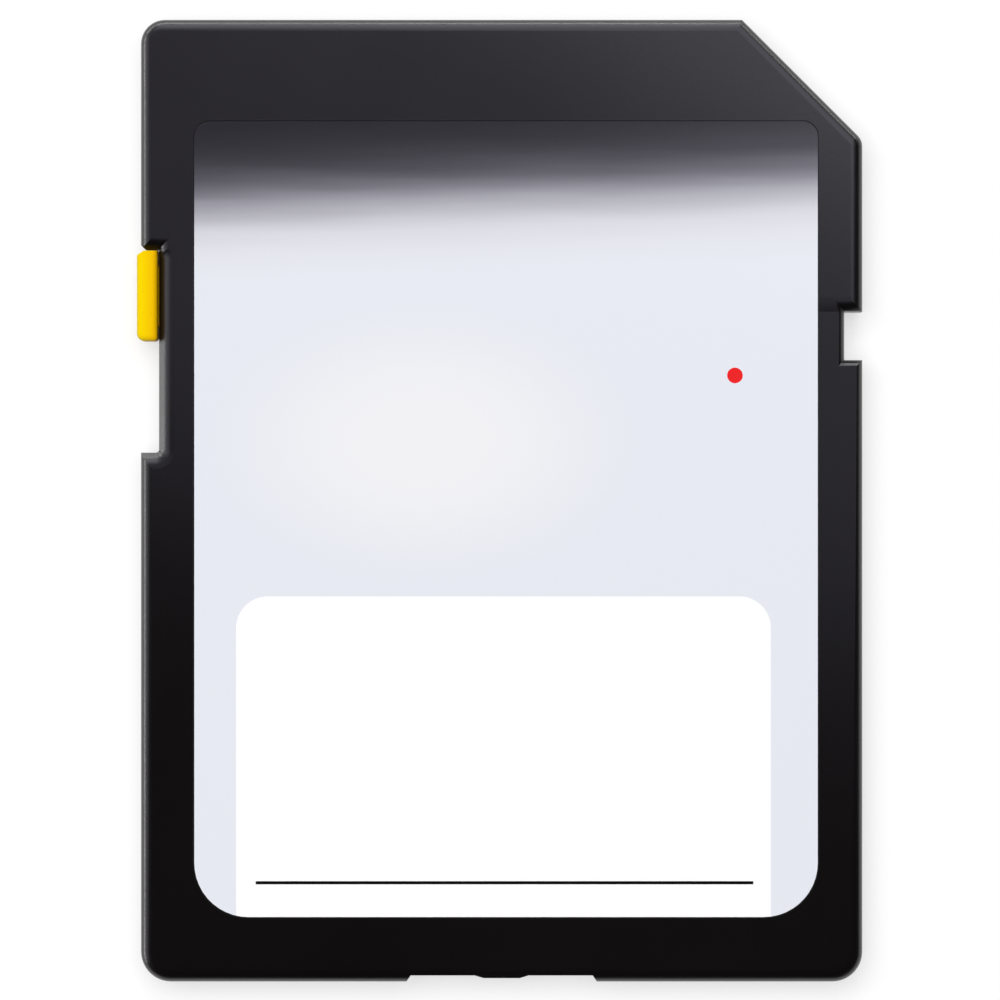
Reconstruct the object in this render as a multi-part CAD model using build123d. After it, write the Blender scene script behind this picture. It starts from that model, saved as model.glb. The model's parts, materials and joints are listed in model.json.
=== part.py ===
from build123d import *
from math import radians, sqrt, tan
import os

# Full-size flash memory card, in millimetres. The back face lies at Z 0 with the label side up.
# +Y points to the leading edge, where the contacts are, and +X to the side with the corner cut.

# Card outline
card_width = 24.0
card_length = 32.0
card_thickness = 2.1
key_corner = 4.0  # legs of the 45 degree corner cut
leading_radius = 0.8
key_radius = 0.5  # where the corner cut meets the long edge
trailing_radius = 1.0
front_edge_radius = 0.4

# Side guides, flush with the front face and stepped in from the back
rail_thickness = 1.4
rail_width = 0.7
rail_chamfer = 0.12
back_corner_radius = 0.5
back_edge_chamfer = 0.2

# Housing walls and the weld that joins the two halves
rim_width = 1.05
front_wall = 0.4
back_wall = 0.35
weld_inset = 0.45  # outer side of the weld ridge, from the card's edge
weld_width = 0.3
weld_height = 0.2
weld_clearance = 0.03
weld_break = 0.4  # the ridge stops this far before a side notch
seam_depth = 0.04  # fine groove round the edge where the halves meet
seam_height = 0.06

# Side notches, measured from the leading edge
lock_notch_start = 7.65
lock_notch_length = 6.75
lock_notch_depth = 0.6
lock_notch_radius = 0.12  # inner corner at the trailing end
lock_notch_flare = 0.15  # bevel at the mouth of the leading end
thumb_bevel_width = 0.17  # slope along this notch for a fingernail
thumb_bevel_angle = 43.0  # degrees below the front face
thumb_roll_width = 0.38  # the front face rolls over into the slope along this width
thumb_start = 0.3  # from the leading end of the notch to the slope's full depth
latch_notch_start = 9.72
latch_notch_length = 1.6
latch_notch_depth = 0.6
border_dip = 0.06  # the border behind the latch notch drops by this much
border_dip_ramp = 0.47  # it rolls off the front face over this length
border_dip_length = 18.0  # it rises back to the front face over this length

# Gate recess in the trailing edge, with the stub that the moulding gate leaves
gate_recess_width = 6.05
gate_recess_depth = 0.23
gate_recess_flare = 0.15
gate_width = 1.2
gate_flare = 0.36
gate_height = 0.11
gate_thickness = 0.4

# Write-protect slider
slider_length = 3.0
slider_proud = 0.13  # stands past the card's edge
slider_sink = 0.05  # below the front face and above the underside of the guide
slider_clearance = 0.04
slider_chamfer_width = 0.24  # outer corner at the leading end
slider_chamfer_length = 0.15
slider_radius = 0.25  # outer corner at the trailing end
slider_edge_radius = 0.2
neck_length = 2.0
head_depth = 0.4
head_hook = 0.12  # the head reaches this far behind the slot on each side
head_gap = 0.07  # between the head and the board or the front wall

# Front label in its recess, borders measured from the card's edges
label_left_border = 1.79
label_right_border = 1.5
label_leading_border = 3.4
label_trailing_border = 2.17
label_leading_radius = 0.5
label_trailing_radius = 1.8
label_thickness = 0.08
label_recess = 0.1
label_gap = 0.035

# Circuit board and its supports
board_thickness = 0.3
board_gap = 0.1
board_ledge = 0.6  # width of the step that carries the board's edge
support_rib = 0.6
support_rib_offset = 3.6
clamp_rib = 0.7

# Contacts, numbered as the connector counts them: 9 is beside the corner cut, then 1 to 8
contact_count = 9
contact_length = 4.1
contact_thickness = 0.035
contact_radius = 0.15
contact_margin = 0.15  # from the board's edge
contact_gap = 0.3  # between contacts 7 and 8, which share a window
narrow_contact_width = 1.1
comb_key_border = 1.95  # card's edge to the first window, on the corner cut side
comb_far_border = 1.25
comb_rib = 0.6
comb_back_wall = 0.8
window_margin = 0.1
window_lead_in = 0.15

# Parts on the board
chip_headroom = 0.06  # below the front wall
memory_width = 11.5
memory_length = 13.0
memory_margin = 0.8  # from the trailing end of the board
controller_size = 5.5
controller_offset = 4.0  # from the card's middle
controller_gap = 0.8  # behind the clamp rib
mark_radius = 0.35
mark_depth = 0.05
mark_inset = 0.9
passive_length = 0.6
passive_width = 0.3
capacitor_height = 0.3
resistor_height = 0.24
terminal_length = 0.15
terminal_swell = 0.015
passive_row_gap = 1.2
capacitor_count = 6
capacitor_pitch = 0.9
resistor_count = 5
resistor_pitch = 0.95

half_width = card_width / 2
half_length = card_length / 2
rail_plane = card_thickness - rail_thickness
parting = card_thickness - rail_thickness / 2
front_inner = card_thickness - front_wall
board_bottom = rail_plane + contact_thickness
board_top = board_bottom + board_thickness
board_inset = rim_width + board_gap
board_trailing = -half_length + board_inset

lock_notch_leading = half_length - lock_notch_start
lock_notch_trailing = lock_notch_leading - lock_notch_length
lock_notch_floor = -half_width + lock_notch_depth
latch_notch_leading = half_length - latch_notch_start
latch_notch_trailing = latch_notch_leading - latch_notch_length
latch_notch_floor = half_width - latch_notch_depth

head_bottom = board_top + head_gap
head_top = front_inner - head_gap
slot_bottom = head_bottom + head_hook
slot_top = head_top - head_hook
slider_leading = lock_notch_leading - slider_clearance
slider_trailing = slider_leading - slider_length
slider_travel = lock_notch_length - slider_length - 2 * slider_clearance
neck_leading = slider_leading - (slider_length - neck_length) / 2
neck_trailing = neck_leading - neck_length

label_left = -half_width + label_left_border
label_right = half_width - label_right_border
label_leading = half_length - label_leading_border
label_trailing = -half_length + label_trailing_border
label_floor = card_thickness - label_recess

comb_span = card_width - comb_key_border - comb_far_border
shared_width = contact_gap + narrow_contact_width
window_width = (comb_span - (contact_count - 2) * comb_rib - shared_width) / (contact_count - 1)
contact_width = window_width - 2 * window_margin
contact_leading = half_length - board_inset - contact_margin
contact_trailing = contact_leading - contact_length
key_contact_side = half_width - comb_key_border - window_margin
board_key_line = half_width + half_length - key_corner - sqrt(2) * (board_inset + contact_margin)
key_contact_leading = board_key_line - key_contact_side
hollow_leading = key_contact_leading - contact_length - window_margin - comb_back_wall

clamp_leading = (contact_leading + contact_trailing + clamp_rib) / 2
memory_trailing = board_trailing + memory_margin
memory_leading = memory_trailing + memory_length
side_clamp = (memory_width / 2 + half_width - rim_width) / 2
controller_leading = clamp_leading - clamp_rib - controller_gap
controller_left = controller_offset - controller_size / 2
chip_top = front_inner - chip_headroom


def slab(plan, bottom, top):
    """Solid over a flat plan, between two heights."""
    return extrude(Pos(0, 0, bottom) * plan, top - bottom, dir=(0, 0, 1))


def block(left, right, trailing, leading, bottom, top):
    """Box between six planes."""
    box = Box(right - left, leading - trailing, top - bottom, align=(Align.MIN, Align.MIN, Align.MIN))
    return Pos(left, trailing, bottom) * box


def rounded_plan(corners, radii):
    """Flat plan with a radius at each corner."""
    return make_face(FilletPolyline(*corners, radius=radii, close=True))


def card_outline(inset):
    """Plan of the card, drawn in by a distance."""
    side = half_width - inset
    end = half_length - inset
    leg = key_corner - inset * (2 - sqrt(2))
    corners = [(-side, -end), (side, -end), (side, end - leg), (side - leg, end), (-side, end)]
    radii = [trailing_radius, trailing_radius, key_radius, 0, leading_radius]
    return rounded_plan(corners, [max(radius - inset, 0) for radius in radii])


def raised_back_outline():
    """Plan of the thick middle of the back, between the side guides."""
    side = half_width - rail_width
    corners = [
        (-side, -half_length),
        (side, -half_length),
        (side, half_length - key_corner + rail_width),
        (half_width - key_corner, half_length),
        (-side, half_length),
    ]
    radius = back_corner_radius
    return rounded_plan(corners, [radius, radius, radius, 0, radius])


def label_outline(growth):
    """Plan of the label, grown by a distance."""
    corners = [
        (label_left - growth, label_trailing - growth),
        (label_right + growth, label_trailing - growth),
        (label_right + growth, label_leading + growth),
        (label_left - growth, label_leading + growth),
    ]
    trailing = label_trailing_radius + growth
    leading = label_leading_radius + growth
    return rounded_plan(corners, [trailing, trailing, leading, leading])


def lock_notch_plan():
    """Plan of the slider's notch, open to the left."""
    outside = -half_width - lock_notch_depth
    corners = [
        (outside, lock_notch_trailing),
        (lock_notch_floor, lock_notch_trailing),
        (lock_notch_floor, lock_notch_leading),
        (outside, lock_notch_leading),
    ]
    return rounded_plan(corners, [0, lock_notch_radius, 0, 0])


def latch_notch_plan():
    """Plan of the small notch that a socket's latch drops into, open to the right."""
    outside = half_width + latch_notch_depth
    corners = [
        (latch_notch_floor, latch_notch_trailing),
        (outside, latch_notch_trailing),
        (outside, latch_notch_leading),
        (latch_notch_floor, latch_notch_leading),
    ]
    return rounded_plan(corners, [0, 0, 0, 0])


def lock_notch_bevel():
    """Cutter for the bevelled mouth at the leading end of the slider's notch."""
    reach = lock_notch_depth
    corners = [
        (-half_width + lock_notch_flare, lock_notch_leading),
        (-half_width - reach, lock_notch_leading + lock_notch_flare + reach),
        (-half_width - reach, lock_notch_leading),
    ]
    return slab(rounded_plan(corners, [0, 0, 0]), 0, card_thickness)


def slider_slot():
    """Cutter for the slot that the slider's neck runs in."""
    leading = neck_leading + slider_clearance
    trailing = neck_trailing - slider_travel - slider_clearance
    return block(
        lock_notch_floor - lock_notch_radius,
        -half_width + rim_width,
        trailing,
        leading,
        slot_bottom,
        slot_top,
    )


def gate_recess():
    """Cutter for the recess in the trailing edge."""
    half_floor = gate_recess_width / 2
    half_mouth = half_floor + gate_recess_flare
    floor = -half_length + gate_recess_depth
    corners = [
        (-half_mouth, -half_length),
        (half_mouth, -half_length),
        (half_floor, floor),
        (-half_floor, floor),
    ]
    return slab(rounded_plan(corners, [0, 0, 0, 0]), 0, card_thickness)


def gate_stub(bottom):
    """Low stub in the gate recess, from a given height."""
    half_top = gate_width / 2
    half_base = half_top + gate_flare
    floor = -half_length + gate_recess_depth
    crest = floor - gate_height
    corners = [(-half_top, crest), (half_top, crest), (half_base, floor), (-half_base, floor)]
    return slab(rounded_plan(corners, [0, 0, 0, 0]), bottom, bottom + gate_thickness)


def weld_ring(growth):
    """Ring that the weld ridge fills, grown by a clearance and broken at the two notches."""
    outer = card_outline(weld_inset - growth)
    inner = card_outline(weld_inset + weld_width + growth)
    ring = slab(outer - inner, parting, parting + weld_height + growth)
    stop = weld_break - growth
    ring -= block(
        -half_width,
        -half_width + rim_width,
        lock_notch_trailing - stop,
        lock_notch_leading + stop,
        parting,
        card_thickness,
    )
    ring -= block(
        half_width - rim_width,
        half_width,
        latch_notch_trailing - stop,
        latch_notch_leading + stop,
        parting,
        card_thickness,
    )
    return ring


def border_dip_cut():
    """Cutter for the shallow dip in the right border, rolled off at the latch notch, then long and flat."""
    crest = (latch_notch_leading + border_dip_ramp, card_thickness)
    lowest = (latch_notch_leading, card_thickness - border_dip)
    far_end = (latch_notch_leading - border_dip_length, card_thickness)
    profile = TangentArc(crest, lowest, tangent=(-1, 0)) + Polyline(lowest, far_end, crest)
    start = label_right + label_gap
    face = Plane.YZ.offset(start) * make_face(profile)
    return extrude(face, half_width - start, dir=(1, 0, 0))


def thumb_section(foot_reach):
    """Section of the fingernail slope, from the notch's wall outwards, below the front face."""
    slope = tan(radians(thumb_bevel_angle))
    roll_drop = thumb_roll_width * tan(radians(thumb_bevel_angle / 2))
    crest = (thumb_bevel_width + thumb_roll_width, 0)
    roll_end = (thumb_bevel_width, -roll_drop)
    foot = (-foot_reach, -roll_drop - slope * (thumb_bevel_width + foot_reach))
    over_foot = (-foot_reach, front_edge_radius)
    over_crest = (thumb_bevel_width + thumb_roll_width, front_edge_radius)
    rest = Polyline(roll_end, foot, over_foot, over_crest, crest)
    return make_face(TangentArc(crest, roll_end, tangent=(-1, 0)) + rest)


def thumb_cut():
    """Cutter for the fingernail slope along the slider's notch and its trailing end."""
    start = (lock_notch_floor, lock_notch_leading - thumb_start, card_thickness)
    bend_start = (lock_notch_floor, lock_notch_trailing + lock_notch_radius, card_thickness)
    bend_end = (lock_notch_floor - lock_notch_radius, lock_notch_trailing, card_thickness)
    outside = (-half_width - lock_notch_depth, lock_notch_trailing, card_thickness)
    bend = TangentArc(bend_start, bend_end, tangent=(0, -1, 0))
    path = Line(start, bend_start) + bend + Line(bend_end, outside)
    plane = Plane(start, x_dir=(1, 0, 0), z_dir=(0, -1, 0))
    cutter = sweep(plane * thumb_section(lock_notch_radius / 2), path=path)
    return cutter + revolve(plane * thumb_section(0), Axis(start, (0, 0, 1)), 90)


def front_cover():
    """Label-side half of the housing."""
    plan = card_outline(0) - lock_notch_plan() - latch_notch_plan()
    shell = slab(plan, parting, card_thickness)
    front_edges = shell.faces().sort_by(Axis.Z)[-1].outer_wire().edges()
    shell = fillet(front_edges, front_edge_radius)
    shell -= thumb_cut()
    shell -= slab(card_outline(rim_width), parting, front_inner)
    shell -= slab(label_outline(label_gap), label_floor, card_thickness)
    shell -= border_dip_cut()
    shell -= slab(card_outline(0) - card_outline(seam_depth), parting, parting + seam_height)
    shell -= weld_ring(weld_clearance)
    shell -= slider_slot()
    shell -= lock_notch_bevel()
    shell -= gate_recess()
    shell += gate_stub(parting)
    clamp_half = half_width - rim_width - board_ledge
    clamp_trailing = clamp_leading - clamp_rib
    clamp = block(-clamp_half, clamp_half, clamp_trailing, clamp_leading, board_top, front_inner)
    shell += clamp & slab(card_outline(rim_width + board_ledge), board_top, front_inner)
    for side in (-1, 1):
        middle = side * side_clamp
        left = middle - clamp_rib / 2
        right = middle + clamp_rib / 2
        shell += block(left, right, memory_trailing, memory_leading, board_top, front_inner)
    return shell


def window_span(index):
    """Left and right sides of a contact window, counted from the corner cut side."""
    right = half_width - comb_key_border - index * (window_width + comb_rib)
    left = right - window_width
    last_window = contact_count - 2
    if index == last_window:
        left -= shared_width
    return left, right


def contact_window(index):
    """Cutter for a contact window: open at the leading edge, with a lead-in to the contact plane."""
    left, right = window_span(index)
    leading = key_contact_leading if index == 0 else contact_leading
    trailing = leading - contact_length - window_margin
    profile = Polyline(
        (trailing, 0),
        (trailing, rail_plane),
        (half_length - window_lead_in, rail_plane),
        (half_length, rail_plane + window_lead_in),
        (half_length, 0),
        close=True,
    )
    face = Plane.YZ.offset(left) * make_face(profile)
    mouth = extrude(face, right - left, dir=(1, 0, 0))
    pocket = block(left, right, trailing, half_length, rail_plane, board_bottom)
    pocket &= slab(card_outline(rim_width), rail_plane, board_bottom)
    return mouth + pocket


def rail_chamfer_cut(side):
    """Cutter for the lower outer edge of one side guide."""
    edge = side * half_width
    corners = [
        (edge, rail_plane),
        (edge, rail_plane + rail_chamfer),
        (edge - side * rail_chamfer, rail_plane),
    ]
    face = Plane.XZ.offset(-half_length) * make_face(Polyline(*corners, close=True))
    return extrude(face, card_length, dir=(0, -1, 0))


def under_board_hollow():
    """Cutter for the space below the board, between its ledges and two support ribs."""
    inset = rim_width + board_ledge
    side = half_width - inset
    trailing = -half_length + inset
    hollow = block(-side, side, trailing, hollow_leading, back_wall, board_bottom)
    for middle in (-support_rib_offset, support_rib_offset):
        left = middle - support_rib / 2
        right = middle + support_rib / 2
        hollow -= block(left, right, trailing, hollow_leading, back_wall, board_bottom)
    return hollow


def back_cover():
    """Contact-side half of the housing, with the comb of contact windows."""
    raised = slab(raised_back_outline(), 0, rail_plane)
    back_edges = raised.faces().sort_by(Axis.Z)[0].outer_wire().edges()
    shell = chamfer(back_edges, back_edge_chamfer)
    plan = card_outline(0) - lock_notch_plan() - latch_notch_plan()
    shell += slab(plan, rail_plane, parting)
    shell -= slab(card_outline(rim_width), board_bottom, parting)
    shell -= under_board_hollow()
    for index in range(contact_count - 1):
        shell -= contact_window(index)
    for side in (-1, 1):
        shell -= rail_chamfer_cut(side)
    shell -= slider_slot()
    shell -= lock_notch_bevel()
    shell -= gate_recess()
    shell += gate_stub(parting - gate_thickness)
    shell += weld_ring(0)
    return shell


def lock_slider():
    """Thumb block in the notch, with a neck through the slot and a head behind the wall."""
    outer = -half_width - slider_proud
    inner = lock_notch_floor - slider_clearance
    corners = [
        (outer, slider_trailing),
        (inner, slider_trailing),
        (inner, slider_leading),
        (outer + slider_chamfer_width, slider_leading),
        (outer, slider_leading - slider_chamfer_length),
    ]
    plan = rounded_plan(corners, [slider_radius, lock_notch_radius, 0, 0, 0])
    thumb = slab(plan, rail_plane + slider_sink, card_thickness - slider_sink)
    outer_edges = thumb.edges().filter_by(Axis.Y).group_by(Axis.X)[0]
    thumb = fillet(outer_edges, slider_edge_radius)
    wall_inside = -half_width + rim_width
    head_left = wall_inside + slider_clearance
    neck = block(
        inner,
        head_left,
        neck_trailing,
        neck_leading,
        slot_bottom + slider_clearance,
        slot_top - slider_clearance,
    )
    head = block(head_left, head_left + head_depth, neck_trailing, neck_leading, head_bottom, head_top)
    return thumb + neck + head


def contact(number):
    """One gold contact on the underside of the board."""
    index = number % contact_count
    last_window = contact_count - 2
    left, right = window_span(min(index, last_window))
    width = contact_width
    middle = right - window_margin - contact_width / 2
    if index > last_window:
        width = narrow_contact_width
        middle = left + window_margin + narrow_contact_width / 2
    leading = key_contact_leading if index == 0 else contact_leading
    plan = RectangleRounded(width, contact_length, contact_radius)
    return slab(Pos(middle, leading - contact_length / 2) * plan, rail_plane, board_bottom)


def package(left, trailing, width, length):
    """Moulded chip package with its first-pin dimple."""
    body = block(left, left + width, trailing, trailing + length, board_top, chip_top)
    dimple = Pos(left + mark_inset, trailing + length - mark_inset) * Circle(mark_radius)
    return body - slab(dimple, chip_top - mark_depth, chip_top)


def passive(middle_x, middle_y, height):
    """Small ceramic part with plated ends, lying across the card."""
    left = middle_x - passive_length / 2
    right = middle_x + passive_length / 2
    near = middle_y - passive_width / 2
    far = middle_y + passive_width / 2
    top = board_top + height
    swell = terminal_swell
    part = block(left, right, near + swell, far - swell, board_top, top - swell)
    part += block(left, left + terminal_length, near, far, board_top, top)
    part += block(right - terminal_length, right, near, far, board_top, top)
    return part


def all_pieces():
    """Every piece of the card by name."""
    size = controller_size
    pieces = {
        "front_cover": front_cover(),
        "back_cover": back_cover(),
        "lock_slider": lock_slider(),
        "front_label": slab(label_outline(0), label_floor, label_floor + label_thickness),
        "circuit_board": slab(card_outline(board_inset), board_bottom, board_top),
        "memory_package": package(-memory_width / 2, memory_trailing, memory_width, memory_length),
        "controller_package": package(controller_left, controller_leading - size, size, size),
    }
    for number in range(1, contact_count + 1):
        pieces[f"contact_{number}"] = contact(number)
    row_y = memory_leading + passive_row_gap
    for step in range(capacitor_count):
        column_x = -memory_width / 2 + passive_length + step * capacitor_pitch
        pieces[f"capacitor_{step + 1}"] = passive(column_x, row_y, capacitor_height)
    column_x = controller_left - passive_row_gap
    for step in range(resistor_count):
        row_y = controller_leading - passive_width - step * resistor_pitch
        pieces[f"resistor_{step + 1}"] = passive(column_x, row_y, resistor_height)
    return pieces


os.makedirs("parts", exist_ok=True)
for name, piece in all_pieces().items():
    export_step(piece, f"parts/{name}.step")
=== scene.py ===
import json
import math

import bpy
import bmesh
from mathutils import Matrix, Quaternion, Vector


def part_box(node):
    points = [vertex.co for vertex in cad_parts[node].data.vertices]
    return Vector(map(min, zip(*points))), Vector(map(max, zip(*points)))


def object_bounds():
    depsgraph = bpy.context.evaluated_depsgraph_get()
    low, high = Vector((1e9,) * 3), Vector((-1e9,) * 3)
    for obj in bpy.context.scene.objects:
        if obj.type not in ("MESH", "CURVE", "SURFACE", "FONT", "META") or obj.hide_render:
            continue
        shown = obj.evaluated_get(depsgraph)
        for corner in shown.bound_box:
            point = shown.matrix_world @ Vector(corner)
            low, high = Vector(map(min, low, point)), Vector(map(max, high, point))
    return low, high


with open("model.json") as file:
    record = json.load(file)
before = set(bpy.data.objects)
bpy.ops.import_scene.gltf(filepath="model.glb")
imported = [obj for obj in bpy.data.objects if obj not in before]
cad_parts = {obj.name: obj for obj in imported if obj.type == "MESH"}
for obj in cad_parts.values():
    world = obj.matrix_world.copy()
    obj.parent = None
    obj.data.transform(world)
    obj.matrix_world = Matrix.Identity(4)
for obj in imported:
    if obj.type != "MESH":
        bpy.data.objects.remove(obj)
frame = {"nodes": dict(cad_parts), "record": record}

mm = 0.001
cadLow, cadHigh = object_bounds()
pieces = frame["nodes"]
scene = bpy.context.scene
print("frame loaded:", len(pieces), "pieces")

# a Mix node repeats its socket names for each data type, so its sockets go by number
mixFactor, floatA, floatB, colourA, colourB = 0, 2, 3, 6, 7
mixedFloat, mixedColour = 0, 2
noiseMiddle = 0.5


def linearColour(hexText):
    channels = [int(hexText[i:i + 2], 16) / 255 for i in (1, 3, 5)]
    linear = [c / 12.92 if c <= 0.04045 else ((c + 0.055) / 1.055) ** 2.4 for c in channels]
    return (*linear, 1.0)


def addNode(tree, kind, settings=None, inputs=None):
    node = tree.nodes.new("ShaderNode" + kind)
    for name, value in (settings or {}).items():
        setattr(node, name, value)
    for socket, value in (inputs or {}).items():
        if isinstance(value, bpy.types.NodeSocket):
            tree.links.new(value, node.inputs[socket])
        else:
            node.inputs[socket].default_value = value
    return node


def newMaterial(name):
    material = bpy.data.materials.new(name)
    material.use_nodes = True
    material.node_tree.nodes.clear()
    return material, material.node_tree


def middleX(name):  # in mm across the card
    low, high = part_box(name)
    return (low.x + high.x) / 2 / mm


# black polycarbonate blend, moulded in a spark-eroded cavity: warm black with a satin bloom,
# rubbed a little smoother and greyer along its edges; lengths in mm
plastic = {
    "colour": "#060404", "cloudColour": "#090606", "rubbedColour": "#1a1819",
    "ior": 1.58, "roughness": (0.285, 0.33), "rubbedRoughness": 0.29,
    "grain": 0.13, "grainHeight": 0.0014,  # drawn coarser than the real 0.03, which would not show
    "cloud": 4.0,  # patches of uneven tone
    "smudge": 6.5, "smudgeLevels": (0.35, 0.65),  # traces of handling, and the noise that they use
    "edge": 0.09, "edgeCosines": (0.995, 0.90),  # reach of the rub, and the bend where it starts and is full
    "edgeRub": 0.8,
}


def makePlastic():
    material, tree = newMaterial("mouldedBlackPolycarbonate")
    place = addNode(tree, "TexCoord").outputs["Object"]
    grain = addNode(tree, "TexNoise", inputs={
        "Vector": place, "Scale": 1 / (plastic["grain"] * mm), "Detail": 1.0})
    cloud = addNode(tree, "TexNoise", inputs={
        "Vector": place, "Scale": 1 / (plastic["cloud"] * mm), "Detail": 3.0})
    smudge = addNode(tree, "TexNoise", inputs={
        "Vector": place, "Scale": 1 / (plastic["smudge"] * mm), "Detail": 3.0})

    # edges: where the normal of a rounded-over surface leaves the true one
    rounded = addNode(tree, "Bevel", {"samples": 6}, {"Radius": plastic["edge"] * mm})
    trueNormal = addNode(tree, "NewGeometry").outputs["Normal"]
    along = addNode(tree, "VectorMath", {"operation": "DOT_PRODUCT"}, {
        0: rounded.outputs["Normal"], 1: trueNormal})
    startCosine, fullCosine = plastic["edgeCosines"]
    edge = addNode(tree, "MapRange", inputs={
        "Value": along.outputs["Value"], "From Min": startCosine, "From Max": fullCosine,
        "To Min": 0.0, "To Max": plastic["edgeRub"]})
    rubbed = addNode(tree, "Math", {"operation": "MULTIPLY"}, {
        0: edge.outputs["Result"], 1: cloud.outputs["Fac"]})

    tone = addNode(tree, "Mix", {"data_type": "RGBA"}, {
        mixFactor: cloud.outputs["Fac"],
        colourA: linearColour(plastic["colour"]), colourB: linearColour(plastic["cloudColour"])})
    worn = addNode(tree, "Mix", {"data_type": "RGBA"}, {
        mixFactor: rubbed.outputs[0],
        colourA: tone.outputs[mixedColour], colourB: linearColour(plastic["rubbedColour"])})
    lowLevel, highLevel = plastic["smudgeLevels"]
    smooth, rough = plastic["roughness"]
    handled = addNode(tree, "MapRange", inputs={
        "Value": smudge.outputs["Fac"], "From Min": lowLevel, "From Max": highLevel,
        "To Min": smooth, "To Max": rough})
    roughness = addNode(tree, "Mix", {"data_type": "FLOAT"}, {
        mixFactor: rubbed.outputs[0],
        floatA: handled.outputs["Result"], floatB: plastic["rubbedRoughness"]})
    bump = addNode(tree, "Bump", inputs={
        "Height": grain.outputs["Fac"], "Distance": plastic["grainHeight"] * mm, "Strength": 1.0})
    shader = addNode(tree, "BsdfPrincipled", inputs={
        "Base Color": worn.outputs[mixedColour], "Roughness": roughness.outputs[mixedFloat],
        "IOR": plastic["ior"], "Normal": bump.outputs["Normal"]})
    addNode(tree, "OutputMaterial", inputs={"Surface": shader.outputs["BSDF"]})
    return material


# yellow acetal, moulded smooth: clean strong colour with a waxy gloss, and painted shade that turns it
# deeper orange towards the dark notch; lengths in mm
yellow = {
    "colour": "#fcdc00", "paintedShadeColour": "#f1bb05",
    "paintedShadeStartX": -12.13, "paintedShadeFullX": -11.44,  # places across the card where the painted shade starts and where it is full
    "flowColour": "#f0c602", "flow": 0.9, "flowStretch": 5.0,  # faint flow marks along the slide
    "flowLevels": (0.45, 0.7), "flowShare": 0.5,
    "grain": 0.1, "grainHeight": 0.0008,  # drawn coarser than the real 0.02, which would not show
    "roughness": 0.42, "specular": 0.15, "ior": 1.48,
}


def makeYellow():
    material, tree = newMaterial("mouldedYellowAcetal")
    place = addNode(tree, "TexCoord").outputs["Object"]
    stretched = addNode(tree, "Mapping", inputs={
        "Vector": place, "Scale": (1.0, 1 / yellow["flowStretch"], 1.0)})
    flow = addNode(tree, "TexNoise", inputs={
        "Vector": stretched.outputs[0], "Scale": 1 / (yellow["flow"] * mm), "Detail": 3.0})
    grain = addNode(tree, "TexNoise", inputs={
        "Vector": place, "Scale": 1 / (yellow["grain"] * mm), "Detail": 3.0})
    across = addNode(tree, "SeparateXYZ", inputs={0: place}).outputs["X"]
    # painted shade: the yellow is darkened towards the notch side, standing in for the shade that falls
    # there
    paintedShadeShare = addNode(tree, "MapRange", {"interpolation_type": "SMOOTHSTEP"}, {
        "Value": across, "From Min": yellow["paintedShadeStartX"] * mm, "From Max": yellow["paintedShadeFullX"] * mm})
    shade = addNode(tree, "Mix", {"data_type": "RGBA"}, {
        mixFactor: paintedShadeShare.outputs["Result"],
        colourA: linearColour(yellow["colour"]), colourB: linearColour(yellow["paintedShadeColour"])})
    lowLevel, highLevel = yellow["flowLevels"]
    marked = addNode(tree, "MapRange", inputs={
        "Value": flow.outputs["Fac"], "From Min": lowLevel, "From Max": highLevel,
        "To Max": yellow["flowShare"]})
    tone = addNode(tree, "Mix", {"data_type": "RGBA"}, {
        mixFactor: marked.outputs["Result"],
        colourA: shade.outputs[mixedColour], colourB: linearColour(yellow["flowColour"])})
    bump = addNode(tree, "Bump", inputs={
        "Height": grain.outputs["Fac"], "Distance": yellow["grainHeight"] * mm, "Strength": 1.0})
    shader = addNode(tree, "BsdfPrincipled", inputs={
        "Base Color": tone.outputs[mixedColour], "Roughness": yellow["roughness"],
        "Specular IOR Level": yellow["specular"], "IOR": yellow["ior"], "Normal": bump.outputs["Normal"]})
    addNode(tree, "OutputMaterial", inputs={"Surface": shader.outputs["BSDF"]})
    return material


# printed polyester film: satin, pale lavender with a charcoal head that fades into it, a soft glow,
# a white writing panel with one line, and a plain red dot; places and lengths in mm
film = {
    "fadeTop": 12.7, "fadeBottom": 7.65, "fadeTilt": -0.04,  # the tilt is a slope
    "fadeStops": [(0.0, "#222027"), (0.24, "#34323a"), (0.41, "#62606a"),
                  (0.56, "#b2b1bb"), (0.72, "#dfdfe6"), (1.0, "#e6e9f1")],
    "streakLong": 9.0, "streakHigh": 0.7, "streakShift": 0.5,
    "glowColour": "#efeff2", "glowX": -2.6, "glowY": 1.95,
    "glowWide": 7.5, "glowHigh": 4.9, "glowFull": 0.25,  # half sizes, and the share of them at full glow
    "panelColour": "#ffffff", "panelLeft": -8.82, "panelRight": 8.94, "panelTop": -3.18, "panelRadius": 1.05,
    "lineColour": "#040404", "lineLeft": -8.17, "lineRight": 8.36, "lineY": -12.69, "lineWidth": 0.105,
    "dotColour": "#ea080b", "dotX": 7.75, "dotY": 4.16, "dotRadius": 0.26,
    "roughness": (0.3, 0.36), "peel": 0.35, "peelHeight": 0.0006, "peelLevels": (0.3, 0.7),
}


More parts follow.
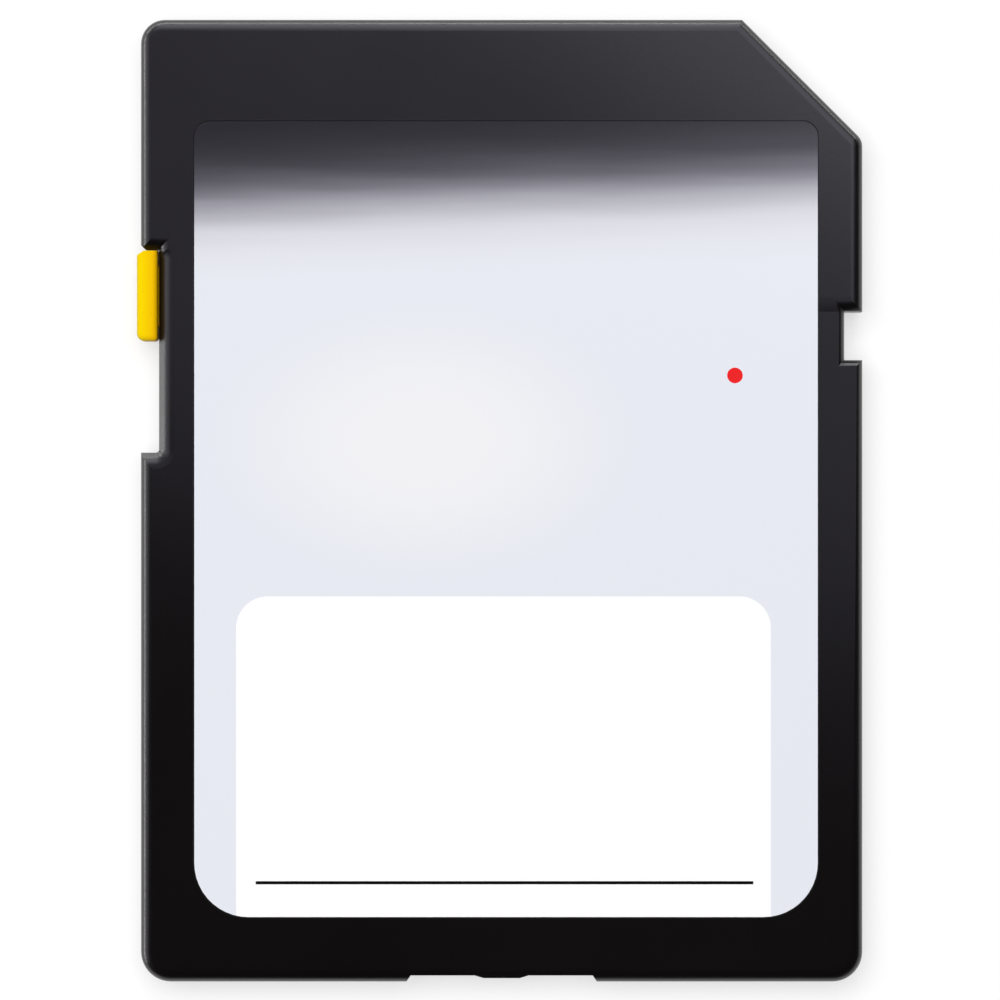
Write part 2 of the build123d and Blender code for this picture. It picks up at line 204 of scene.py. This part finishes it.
def makeFilm():
    material, tree = newMaterial("printedPolyesterFilm")
    place = addNode(tree, "TexCoord").outputs["Object"]
    inMm = addNode(tree, "VectorMath", {"operation": "SCALE"}, {0: place, "Scale": 1 / mm})
    split = addNode(tree, "SeparateXYZ", inputs={0: inMm.outputs["Vector"]})
    x, y = split.outputs["X"], split.outputs["Y"]
    flat = addNode(tree, "CombineXYZ", inputs={"X": x, "Y": y}).outputs[0]

    # charcoal head: a fade along the card, tilted a little and drawn out in soft streaks
    tilted = addNode(tree, "Math", {"operation": "MULTIPLY_ADD"}, {0: x, 1: film["fadeTilt"], 2: y})
    streakPlace = addNode(tree, "Mapping", inputs={
        "Vector": flat, "Scale": (1 / film["streakLong"], 1 / film["streakHigh"], 1.0)})
    streak = addNode(tree, "TexNoise", inputs={
        "Vector": streakPlace.outputs[0], "Scale": 1.0, "Detail": 2.0})
    level = addNode(tree, "Math", {"operation": "SUBTRACT"}, {0: streak.outputs["Fac"], 1: noiseMiddle})
    streaked = addNode(tree, "Math", {"operation": "MULTIPLY_ADD"}, {
        0: level.outputs[0], 1: film["streakShift"], 2: tilted.outputs[0]})
    fade = addNode(tree, "MapRange", inputs={
        "Value": streaked.outputs[0], "From Min": film["fadeTop"], "From Max": film["fadeBottom"]})
    ramp = addNode(tree, "ValToRGB", inputs={0: fade.outputs["Result"]})
    ramp.color_ramp.interpolation = "B_SPLINE"
    stops = ramp.color_ramp.elements  # a new ramp has its first and last stop already
    for position, colour in film["fadeStops"][1:-1]:
        stops.new(position)
    for stop, (position, colour) in zip(stops, film["fadeStops"]):
        stop.color = linearColour(colour)

    # soft paler glow over the middle of the print
    glowPlace = addNode(tree, "Mapping", {"vector_type": "TEXTURE"}, {
        "Vector": flat, "Location": (film["glowX"], film["glowY"], 0.0),
        "Scale": (film["glowWide"], film["glowHigh"], 1.0)})
    glowReach = addNode(tree, "VectorMath", {"operation": "LENGTH"}, {0: glowPlace.outputs[0]})
    glow = addNode(tree, "MapRange", {"interpolation_type": "SMOOTHSTEP"}, {
        "Value": glowReach.outputs["Value"], "From Min": 1.0, "From Max": film["glowFull"]})
    withGlow = addNode(tree, "Mix", {"data_type": "RGBA"}, {
        mixFactor: glow.outputs["Result"],
        colourA: ramp.outputs["Color"], colourB: linearColour(film["glowColour"])})

    # writing panel: reach from an inner box whose corners are rounded off, open at the lower end
    panelMiddle = (film["panelLeft"] + film["panelRight"]) / 2
    innerHalf = (film["panelRight"] - film["panelLeft"]) / 2 - film["panelRadius"]
    innerTop = film["panelTop"] - film["panelRadius"]
    fromMiddle = addNode(tree, "Math", {"operation": "SUBTRACT"}, {0: x, 1: panelMiddle})
    sideways = addNode(tree, "Math", {"operation": "ABSOLUTE"}, {0: fromMiddle.outputs[0]})
    overX = addNode(tree, "Math", {"operation": "SUBTRACT"}, {0: sideways.outputs[0], 1: innerHalf})
    outX = addNode(tree, "Math", {"operation": "MAXIMUM"}, {0: overX.outputs[0], 1: 0.0})
    overY = addNode(tree, "Math", {"operation": "SUBTRACT"}, {0: y, 1: innerTop})
    outY = addNode(tree, "Math", {"operation": "MAXIMUM"}, {0: overY.outputs[0], 1: 0.0})
    corner = addNode(tree, "CombineXYZ", inputs={"X": outX.outputs[0], "Y": outY.outputs[0]})
    reach = addNode(tree, "VectorMath", {"operation": "LENGTH"}, {0: corner.outputs[0]})
    panel = addNode(tree, "Math", {"operation": "LESS_THAN"}, {
        0: reach.outputs["Value"], 1: film["panelRadius"]})
    withPanel = addNode(tree, "Mix", {"data_type": "RGBA"}, {
        mixFactor: panel.outputs[0],
        colourA: withGlow.outputs[mixedColour], colourB: linearColour(film["panelColour"])})

    # writing line: a long thin bar
    lineMiddle = (film["lineLeft"] + film["lineRight"]) / 2
    lineHalf = (film["lineRight"] - film["lineLeft"]) / 2
    lineX = addNode(tree, "Math", {"operation": "COMPARE"}, {0: x, 1: lineMiddle, 2: lineHalf})
    lineY = addNode(tree, "Math", {"operation": "COMPARE"}, {
        0: y, 1: film["lineY"], 2: film["lineWidth"] / 2})
    line = addNode(tree, "Math", {"operation": "MULTIPLY"}, {0: lineX.outputs[0], 1: lineY.outputs[0]})
    withLine = addNode(tree, "Mix", {"data_type": "RGBA"}, {
        mixFactor: line.outputs[0],
        colourA: withPanel.outputs[mixedColour], colourB: linearColour(film["lineColour"])})

    dotReach = addNode(tree, "VectorMath", {"operation": "DISTANCE"}, {
        0: flat, 1: (film["dotX"], film["dotY"], 0.0)})
    dot = addNode(tree, "Math", {"operation": "LESS_THAN"}, {
        0: dotReach.outputs["Value"], 1: film["dotRadius"]})
    withDot = addNode(tree, "Mix", {"data_type": "RGBA"}, {
        mixFactor: dot.outputs[0],
        colourA: withLine.outputs[mixedColour], colourB: linearColour(film["dotColour"])})

    # faint unevenness of the film over its glue
    peel = addNode(tree, "TexNoise", inputs={
        "Vector": place, "Scale": 1 / (film["peel"] * mm), "Detail": 3.0})
    lowLevel, highLevel = film["peelLevels"]
    smooth, rough = film["roughness"]
    roughness = addNode(tree, "MapRange", inputs={
        "Value": peel.outputs["Fac"], "From Min": lowLevel, "From Max": highLevel,
        "To Min": smooth, "To Max": rough})
    bump = addNode(tree, "Bump", inputs={
        "Height": peel.outputs["Fac"], "Distance": film["peelHeight"] * mm, "Strength": 1.0})
    shader = addNode(tree, "BsdfPrincipled", inputs={
        "Base Color": withDot.outputs[mixedColour], "Roughness": roughness.outputs["Result"],
        "Normal": bump.outputs["Normal"]})
    addNode(tree, "OutputMaterial", inputs={"Surface": shader.outputs["BSDF"]})
    return material


# hard gold over nickel, plated: warm metal with fine wiping marks along the card; lengths in mm
gold = {
    "colour": "#e3bd6c", "wornColour": "#c89c50", "roughness": (0.28, 0.38),
    "mark": 0.05, "markStretch": 20.0,  # drawn coarser than the real 0.01, which would not show
    "markHeight": 0.0004, "markLevels": (0.3, 0.7),
}


def makeGold():
    material, tree = newMaterial("hardGoldPlating")
    place = addNode(tree, "TexCoord").outputs["Object"]
    stretched = addNode(tree, "Mapping", inputs={
        "Vector": place, "Scale": (1.0, 1 / gold["markStretch"], 1.0)})
    marks = addNode(tree, "TexNoise", inputs={
        "Vector": stretched.outputs[0], "Scale": 1 / (gold["mark"] * mm), "Detail": 4.0})
    tone = addNode(tree, "Mix", {"data_type": "RGBA"}, {
        mixFactor: marks.outputs["Fac"],
        colourA: linearColour(gold["colour"]), colourB: linearColour(gold["wornColour"])})
    lowLevel, highLevel = gold["markLevels"]
    smooth, rough = gold["roughness"]
    roughness = addNode(tree, "MapRange", inputs={
        "Value": marks.outputs["Fac"], "From Min": lowLevel, "From Max": highLevel,
        "To Min": smooth, "To Max": rough})
    bump = addNode(tree, "Bump", inputs={
        "Height": marks.outputs["Fac"], "Distance": gold["markHeight"] * mm, "Strength": 1.0})
    shader = addNode(tree, "BsdfPrincipled", inputs={
        "Base Color": tone.outputs[mixedColour], "Metallic": 1.0,
        "Roughness": roughness.outputs["Result"], "Normal": bump.outputs["Normal"]})
    addNode(tree, "OutputMaterial", inputs={"Surface": shader.outputs["BSDF"]})
    return material


# glass laminate under green solder mask: glossy deep green, paler over the copper tracks that run
# back from the contacts, with a faint weave of the glass cloth; lengths in mm
laminate = {
    "colour": "#0c3524", "trackColour": "#1c6a46", "roughness": 0.28,
    "trackPitch": 0.5, "trackWidth": 0.2, "trackSoft": 0.02,
    "bundleWide": 1.7, "bundleLong": 9.0, "bundleLevels": (0.4, 0.44),  # where tracks are laid
    "weave": 0.4, "weaveHeight": 0.0015,
}


def makeLaminate():
    material, tree = newMaterial("solderMaskLaminate")
    place = addNode(tree, "TexCoord").outputs["Object"]
    inMm = addNode(tree, "VectorMath", {"operation": "SCALE"}, {0: place, "Scale": 1 / mm})
    x = addNode(tree, "SeparateXYZ", inputs={0: inMm.outputs["Vector"]}).outputs["X"]
    fromContact = addNode(tree, "Math", {"operation": "SUBTRACT"}, {0: x, 1: middleX("contact_1")})
    nearest = addNode(tree, "Math", {"operation": "PINGPONG"}, {
        0: fromContact.outputs[0], 1: laminate["trackPitch"] / 2})
    track = addNode(tree, "MapRange", inputs={
        "Value": nearest.outputs[0], "From Min": laminate["trackWidth"] / 2 + laminate["trackSoft"],
        "From Max": laminate["trackWidth"] / 2 - laminate["trackSoft"]})
    bundlePlace = addNode(tree, "Mapping", inputs={
        "Vector": inMm.outputs["Vector"],
        "Scale": (1 / laminate["bundleWide"], 1 / laminate["bundleLong"], 1.0)})
    bundle = addNode(tree, "TexNoise", inputs={
        "Vector": bundlePlace.outputs[0], "Scale": 1.0, "Detail": 1.0})
    lowLevel, highLevel = laminate["bundleLevels"]
    laid = addNode(tree, "MapRange", inputs={
        "Value": bundle.outputs["Fac"], "From Min": lowLevel, "From Max": highLevel})
    shown = addNode(tree, "Math", {"operation": "MULTIPLY"}, {
        0: track.outputs["Result"], 1: laid.outputs["Result"]})
    tone = addNode(tree, "Mix", {"data_type": "RGBA"}, {
        mixFactor: shown.outputs[0],
        colourA: linearColour(laminate["colour"]), colourB: linearColour(laminate["trackColour"])})
    weave = addNode(tree, "TexNoise", inputs={
        "Vector": place, "Scale": 1 / (laminate["weave"] * mm), "Detail": 2.0})
    bump = addNode(tree, "Bump", inputs={
        "Height": weave.outputs["Fac"], "Distance": laminate["weaveHeight"] * mm, "Strength": 1.0})
    shader = addNode(tree, "BsdfPrincipled", inputs={
        "Base Color": tone.outputs[mixedColour], "Roughness": laminate["roughness"],
        "Normal": bump.outputs["Normal"]})
    addNode(tree, "OutputMaterial", inputs={"Surface": shader.outputs["BSDF"]})
    return material


# silica-filled resin, moulded: matt charcoal with pale filler specks; lengths in mm
resin = {
    "colour": "#1b1b1c", "speckColour": "#343435", "roughness": 0.62,
    "speck": 0.08, "speckHeight": 0.002,  # drawn coarser than the real 0.03, which would not show
}


def makeResin():
    material, tree = newMaterial("silicaFilledResin")
    place = addNode(tree, "TexCoord").outputs["Object"]
    speck = addNode(tree, "TexVoronoi", inputs={"Vector": place, "Scale": 1 / (resin["speck"] * mm)})
    tone = addNode(tree, "Mix", {"data_type": "RGBA"}, {
        mixFactor: speck.outputs["Distance"],
        colourA: linearColour(resin["speckColour"]), colourB: linearColour(resin["colour"])})
    bump = addNode(tree, "Bump", inputs={
        "Height": speck.outputs["Distance"], "Distance": resin["speckHeight"] * mm, "Strength": 1.0})
    shader = addNode(tree, "BsdfPrincipled", inputs={
        "Base Color": tone.outputs[mixedColour], "Roughness": resin["roughness"],
        "Normal": bump.outputs["Normal"]})
    addNode(tree, "OutputMaterial", inputs={"Surface": shader.outputs["BSDF"]})
    return material


# fired ceramic with barrel-tinned ends: dull body, tan or glazed black, between bright grey caps;
# lengths in mm
capacitor = {"material": "firedCeramic", "colour": "#a8825e", "darkColour": "#8d6a49"}
resistor = {"material": "glazedCeramic", "colour": "#26262a", "darkColour": "#1c1c20"}
ceramic = {
    "tinColour": "#c3c2bd", "tinRoughness": 0.3,
    "bodyLength": 0.3, "bodyRoughness": 0.5,
    "grain": 0.06,  # drawn coarser than the real few microns, which would not show
}


def makeCeramic(body, rowStart, rowPitch):
    material, tree = newMaterial(body["material"])
    place = addNode(tree, "TexCoord").outputs["Object"]
    inMm = addNode(tree, "VectorMath", {"operation": "SCALE"}, {0: place, "Scale": 1 / mm})
    x = addNode(tree, "SeparateXYZ", inputs={0: inMm.outputs["Vector"]}).outputs["X"]
    fromRow = addNode(tree, "Math", {"operation": "SUBTRACT"}, {0: x, 1: rowStart})
    nearest = addNode(tree, "Math", {"operation": "PINGPONG"}, {0: fromRow.outputs[0], 1: rowPitch / 2})
    tinned = addNode(tree, "Math", {"operation": "GREATER_THAN"}, {
        0: nearest.outputs[0], 1: ceramic["bodyLength"] / 2})
    grain = addNode(tree, "TexNoise", inputs={
        "Vector": place, "Scale": 1 / (ceramic["grain"] * mm), "Detail": 2.0})
    fired = addNode(tree, "Mix", {"data_type": "RGBA"}, {
        mixFactor: grain.outputs["Fac"],
        colourA: linearColour(body["colour"]), colourB: linearColour(body["darkColour"])})
    tone = addNode(tree, "Mix", {"data_type": "RGBA"}, {
        mixFactor: tinned.outputs[0],
        colourA: fired.outputs[mixedColour], colourB: linearColour(ceramic["tinColour"])})
    roughness = addNode(tree, "MapRange", inputs={
        "Value": tinned.outputs[0], "To Min": ceramic["bodyRoughness"], "To Max": ceramic["tinRoughness"]})
    shader = addNode(tree, "BsdfPrincipled", inputs={
        "Base Color": tone.outputs[mixedColour], "Roughness": roughness.outputs["Result"],
        "Metallic": tinned.outputs[0]})
    addNode(tree, "OutputMaterial", inputs={"Surface": shader.outputs["BSDF"]})
    return material


# the resistors stand in one column, so the capacitors' pitch serves them too
rowPitch = middleX("capacitor_2") - middleX("capacitor_1")
finishes = {
    "housing_plastic": makePlastic(),
    "slider_plastic": makeYellow(),
    "label_film": makeFilm(),
    "board_laminate": makeLaminate(),
    "contact_gold": makeGold(),
    "chip_resin": makeResin(),
    "capacitor_ceramic": makeCeramic(capacitor, middleX("capacitor_1"), rowPitch),
    "resistor_ceramic": makeCeramic(resistor, middleX("resistor_1"), rowPitch),
}
for subpart in frame["record"]["subparts"]:
    mesh = pieces[subpart["node"]].data
    mesh.materials.clear()
    mesh.materials.append(finishes[subpart["material_slot"]])
print("finishes set:", len(finishes))

# coated paper sweep: even matt white, lifted where it is seen directly or in a gloss, and it keeps
# the card's shadow; lengths in metres
sweep = {"size": 1.6, "drop": 0.02 * mm, "colour": "#ffffff", "lift": 0.6}

floorMesh = bpy.data.meshes.new("floor")
shape = bmesh.new()
bmesh.ops.create_grid(shape, x_segments=1, y_segments=1, size=sweep["size"] / 2)
bmesh.ops.translate(shape, verts=shape.verts, vec=(0.0, 0.0, -sweep["drop"]))
shape.to_mesh(floorMesh)
shape.free()
floor = bpy.data.objects.new("floor", floorMesh)
scene.collection.objects.link(floor)

paper, paperTree = newMaterial("paperSweep")
rays = addNode(paperTree, "LightPath")
cameraOrGlossy = addNode(paperTree, "Math", {"operation": "MAXIMUM"}, {
    0: rays.outputs["Is Camera Ray"], 1: rays.outputs["Is Glossy Ray"]})
anySeen = addNode(paperTree, "Math", {"operation": "MAXIMUM"}, {
    0: cameraOrGlossy.outputs[0], 1: rays.outputs["Is Transmission Ray"]})
lift = addNode(paperTree, "Math", {"operation": "MULTIPLY"}, {0: anySeen.outputs[0], 1: sweep["lift"]})
matt = addNode(paperTree, "BsdfDiffuse", inputs={"Color": linearColour(sweep["colour"])})
white = addNode(paperTree, "Emission", inputs={"Color": linearColour("#ffffff"), "Strength": 1.0})
blend = addNode(paperTree, "MixShader", inputs={
    0: lift.outputs[0], 1: matt.outputs[0], 2: white.outputs[0]})
addNode(paperTree, "OutputMaterial", inputs={"Surface": blend.outputs[0]})
floorMesh.materials.append(paper)
print("floor set:", sweep["size"], "m wide")

# one panel lights everything softly, and the others only give gloss: the slider gets none of theirs,
# and the label only that of the panel over the corner cut, so both show clear colour
hardPieces = bpy.data.collections.new("hardPieces")
facePieces = bpy.data.collections.new("facePieces")
for name, piece in pieces.items():
    if name != "lock_slider":
        facePieces.objects.link(piece)
    if name not in ("lock_slider", "front_label"):
        hardPieces.objects.link(piece)

# places and sizes in metres, turns in degrees about the lamp's own axis
lights = [
    {"name": "overheadPanel", "at": (-0.06, 0.10, 0.62), "towards": (0.0, 0.0, 0.0),
     "size": (0.5, 0.5), "radiance": 6.15, "colour": "#ffffff", "glossOn": None},
    {"name": "bloomPanel", "at": (-0.013, 0.0725, 0.026), "towards": (-0.013, 0.0725, 0.0), "turn": -12.0,
     "size": (0.115, 0.14), "radiance": 0.41, "colour": "#e6e2ff", "glossOn": hardPieces},
    {"name": "cutPanel", "at": (0.01, 0.052, 0.033), "towards": (0.01, 0.052, 0.0), "turn": -35.0,
     "size": (0.075, 0.06), "radiance": 1.34, "colour": "#eef2ff", "glossOn": facePieces},
    {"name": "headPanel", "at": (0.0, 0.21, 0.09), "towards": (0.0, 0.0, 0.09),
     "size": (0.22, 0.17), "radiance": 0.8, "colour": "#f8f4ff", "glossOn": hardPieces},
    {"name": "sidePanel", "at": (-0.21, 0.0, 0.11), "towards": (0.0, 0.0, 0.11),
     "size": (0.22, 0.21), "radiance": 0.8, "colour": "#f8f4ff", "glossOn": hardPieces},
    {"name": "headStrip", "at": (0.0, 0.2, 0.016), "towards": (0.0, 0.0, 0.016),
     "size": (0.2, 0.028), "radiance": 8.5, "colour": "#ffffff", "glossOn": hardPieces},
    {"name": "sideStrip", "at": (-0.2, 0.0, 0.016), "towards": (0.0, 0.0, 0.016),
     "size": (0.2, 0.028), "radiance": 8.5, "colour": "#ffffff", "glossOn": hardPieces},
    {"name": "cornerStrip", "at": (-0.142, 0.142, 0.016), "towards": (0.0, 0.0, 0.016),
     "size": (0.1, 0.028), "radiance": 8.5, "colour": "#ffffff", "glossOn": hardPieces},
    {"name": "keyStrip", "at": (0.142, 0.142, 0.016), "towards": (0.0, 0.0, 0.016),
     "size": (0.06, 0.028), "radiance": 7.0, "colour": "#ffffff", "glossOn": hardPieces},
]
for item in lights:
    lamp = bpy.data.lights.new(item["name"], "AREA")
    lamp.shape = "RECTANGLE"
    lamp.size, lamp.size_y = item["size"]
    lamp.energy = item["radiance"] * math.pi * lamp.size * lamp.size_y
    lamp.color = linearColour(item["colour"])[:3]
    lampObject = bpy.data.objects.new(item["name"], lamp)
    lampObject.location = item["at"]
    aim = Vector(item["towards"]) - Vector(item["at"])
    turn = Quaternion((0.0, 0.0, 1.0), math.radians(item.get("turn", 0.0)))
    lampObject.rotation_euler = (aim.to_track_quat("-Z", "Y") @ turn).to_euler()
    lampObject.visible_camera = False
    lampObject.visible_diffuse = item["glossOn"] is None
    lampObject.visible_glossy = item["glossOn"] is not None
    if item["glossOn"]:
        lampObject.light_linking.receiver_collection = item["glossOn"]
    scene.collection.objects.link(lampObject)

# faint even light from all round
surround = {"colour": "#ffffff", "strength": 0.03}
world = bpy.data.worlds.new("studio")
world.use_nodes = True
scene.world = world
background = world.node_tree.nodes["Background"]
background.inputs["Color"].default_value = linearColour(surround["colour"])
background.inputs["Strength"].default_value = surround["strength"]
print("light set:", len(lights), "panels")

# camera straight above the card; height and clip in metres, sensor in mm
view = {
    "height": 0.2, "sensor": 36.0, "clip": (0.01, 10.0),
    "imageSize": 1000, "pixelsPerMm": 30.11,
    "centrePixel": (501.65, 500.7),  # where the card's centre is seen
}
camera = bpy.data.cameras.new("camera")
camera.sensor_width = view["sensor"]
viewWidth = view["imageSize"] / view["pixelsPerMm"] * mm
camera.lens = view["sensor"] * (view["height"] - cadHigh.z) / viewWidth
camera.clip_start, camera.clip_end = view["clip"]
cameraObject = bpy.data.objects.new("camera", camera)
half = view["imageSize"] / 2
centreX, centreY = view["centrePixel"]
offX = (half - centreX) / view["pixelsPerMm"] * mm
offY = (centreY - half) / view["pixelsPerMm"] * mm
cameraObject.location = (offX, offY, view["height"])
scene.collection.objects.link(cameraObject)
scene.camera = cameraObject
scene.view_settings.view_transform = "Standard"
print("camera set:", round(camera.lens), "mm lens")
